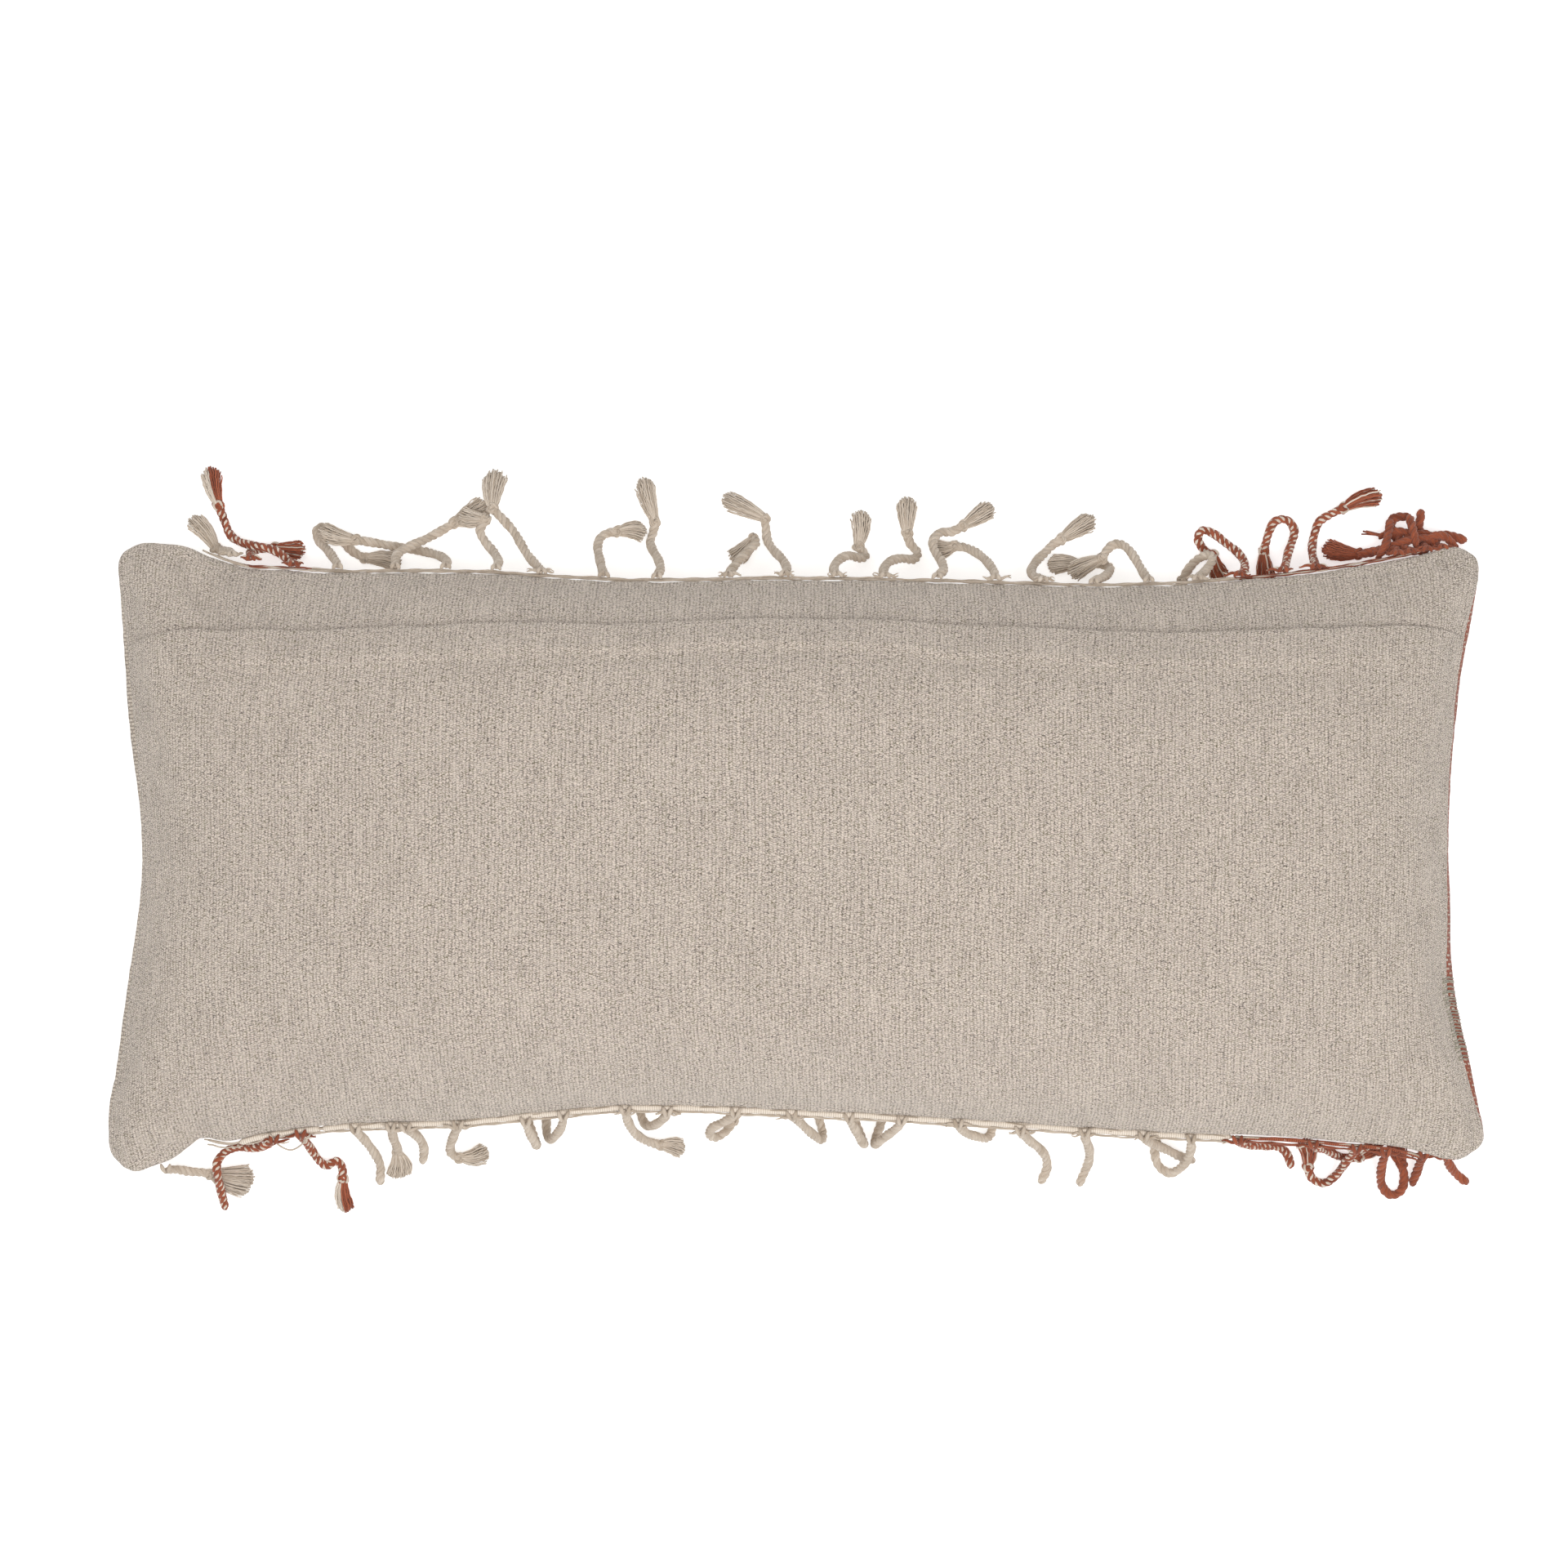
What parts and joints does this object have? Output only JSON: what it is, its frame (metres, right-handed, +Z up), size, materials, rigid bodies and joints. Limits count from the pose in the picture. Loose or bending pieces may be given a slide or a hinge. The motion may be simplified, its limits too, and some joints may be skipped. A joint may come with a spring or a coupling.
{
  "type": "throw pillow",
  "caption": "Long lumbar throw pillow lying on its front, plain woven back with a lapped zip closure, and knotted cord fringe with tassels along both long sides.",
  "frame": {"origin": "middle of the footprint, on the ground", "axes": "+Z up out of the back face, +X along the long side, +Y towards the side with the zip"},
  "size_m": [0.9138, 0.5032, 0.13],
  "materials": {
    "back_cloth": "plain slub weave",
    "front_cloth": "ribbed hand weave",
    "ticking": "matte",
    "filling": "fibre",
    "zip_tape": "twill tape",
    "zip_coil": "satin",
    "zip_metal": "satin",
    "cord_cream": "twisted cotton",
    "cord_rust": "twisted cotton",
    "cord_mixed": "twisted cotton, two colours"
  },
  "bodies": {
    "cover": {"fill_core": "filling", "insert_ticking_front": "ticking", "insert_ticking_back": "ticking", "front_panel": "front_cloth", "back_panel_main": "back_cloth", "back_panel_upper": "back_cloth", "placket_facing": "back_cloth", "zip_tape_upper": "zip_tape", "zip_tape_lower": "zip_tape", "zip_coil_upper": "zip_coil", "zip_coil_lower": "zip_coil", "zip_stop_closed": "zip_metal", "zip_stop_open": "zip_metal", "fringe_header_top": "cord_cream", "fringe_header_bottom": "cord_cream", "cord_top_1": "cord_mixed", "cord_top_2": "cord_cream", "cord_top_3": "cord_cream", "cord_top_4": "cord_cream", "cord_top_5": "cord_cream", "cord_top_6": "cord_cream", "cord_top_7": "cord_cream", "cord_top_8": "cord_cream", "cord_top_9": "cord_cream", "cord_top_10": "cord_cream", "cord_top_11": "cord_cream", "cord_top_12": "cord_cream", "cord_top_13": "cord_cream", "cord_top_14": "cord_cream", "cord_top_15": "cord_cream", "cord_top_16": "cord_cream", "cord_top_17": "cord_cream", "cord_top_18": "cord_cream", "cord_top_19": "cord_mixed", "cord_top_20": "cord_mixed", "cord_top_21": "cord_mixed", "cord_bottom_1": "cord_mixed", "cord_bottom_2": "cord_mixed", "cord_bottom_3": "cord_cream", "cord_bottom_4": "cord_cream", "cord_bottom_5": "cord_cream", "cord_bottom_6": "cord_cream", "cord_bottom_7": "cord_cream", "cord_bottom_8": "cord_cream", "cord_bottom_9": "cord_cream", "cord_bottom_10": "cord_cream", "cord_bottom_11": "cord_cream", "cord_bottom_12": "cord_cream", "cord_bottom_13": "cord_cream", "cord_bottom_14": "cord_cream", "cord_bottom_15": "cord_cream", "cord_bottom_16": "cord_mixed", "cord_bottom_17": "cord_mixed", "cord_bottom_18": "cord_rust", "corner_cords_top": "cord_rust", "short_cords_bottom": "cord_cream"},
    "zip_slider_body": {"zip_slider": "zip_metal"},
    "pull_tab_body": {"pull_tab": "zip_metal"}
  },
  "joints": [
    {"name": "zip_travel", "type": "hinge", "parent": "cover", "child": "zip_slider_body", "pos_m": [-0.00154, -0.38354, -1.86682], "axis": [-0.0034, -0.9656, 0.2601], "range_deg": [0, 21.84]},
    {"name": "pull_tab_lift", "type": "hinge", "parent": "zip_slider_body", "child": "pull_tab_body", "pos_m": [0.38644, 0.13647, 0.06468], "axis": [-0.0428, 0.8753, -0.4817], "range_deg": [0, 7]}
  ]
}
